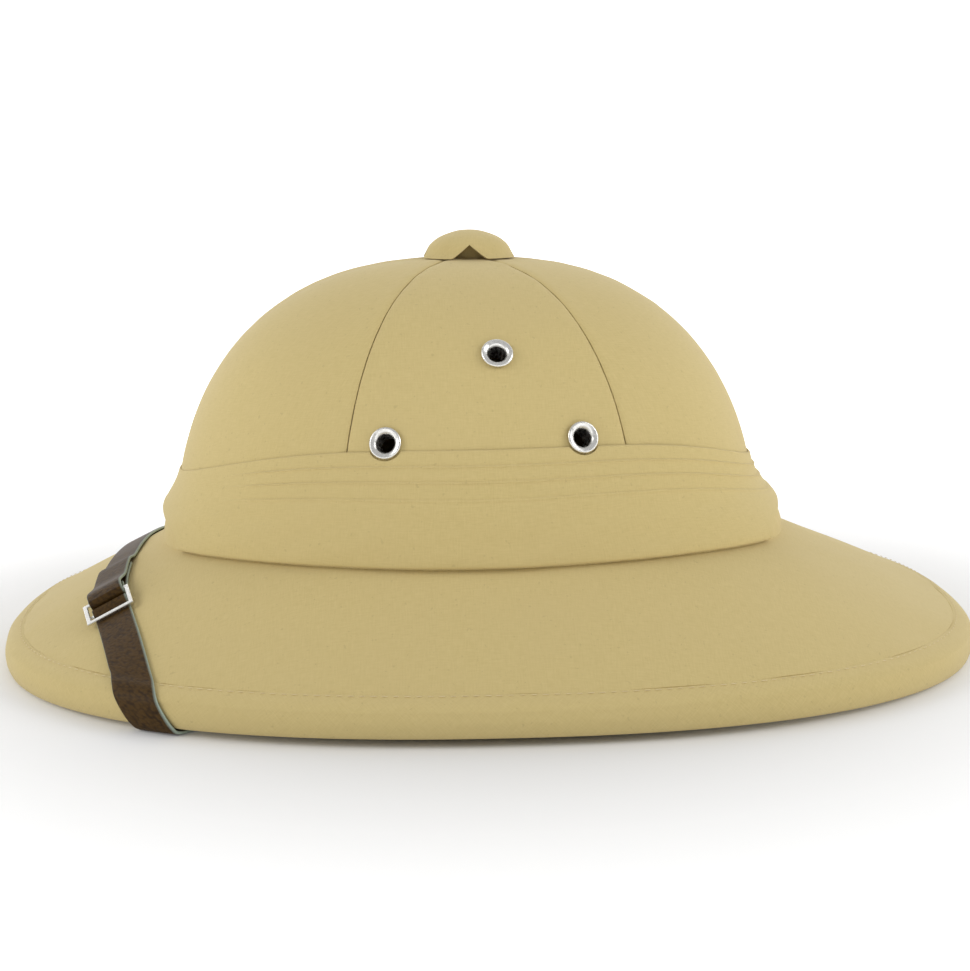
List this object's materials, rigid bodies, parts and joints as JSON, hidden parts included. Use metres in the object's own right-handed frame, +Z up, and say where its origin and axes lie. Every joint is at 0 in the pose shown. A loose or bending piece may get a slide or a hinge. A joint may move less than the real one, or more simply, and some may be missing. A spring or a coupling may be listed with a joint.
{
  "type": "pith helmet",
  "caption": "Cloth-covered pith helmet with sewn crown gores, pleated band, vent cap, rolled eyelets, wide bound brim and a leather chin strap worn up over the front of the brim.",
  "frame": {"origin": "middle of the hat's plan outline, on the surface that its rim rests on", "axes": "+Z up, the hat's front towards -Y, the wearer's left towards +X"},
  "size_m": [0.2756, 0.345, 0.1458],
  "materials": {
    "moulded_shell": "matte pressed fibre",
    "khaki_cloth": "matte woven cotton",
    "brown_leather": "satin, fine pebbled grain",
    "bright_metal": "bright plated"
  },
  "bodies": {
    "root": {"brim_cover": "khaki_cloth", "buckle": "bright_metal", "crown_panel_1": "khaki_cloth", "crown_panel_2": "khaki_cloth", "crown_panel_3": "khaki_cloth", "crown_panel_4": "khaki_cloth", "crown_panel_5": "khaki_cloth", "crown_panel_6": "khaki_cloth", "eyelet_left_back": "bright_metal", "eyelet_left_front": "bright_metal", "eyelet_left_top": "bright_metal", "eyelet_right_back": "bright_metal", "eyelet_right_front": "bright_metal", "eyelet_right_top": "bright_metal", "puggaree": "khaki_cloth", "rim_binding": "khaki_cloth", "shell": "moulded_shell", "strap_left": "brown_leather", "strap_right": "brown_leather", "strap_rivet_left": "bright_metal", "strap_rivet_right": "bright_metal", "vent_cap": "khaki_cloth"}
  },
  "joints": []
}
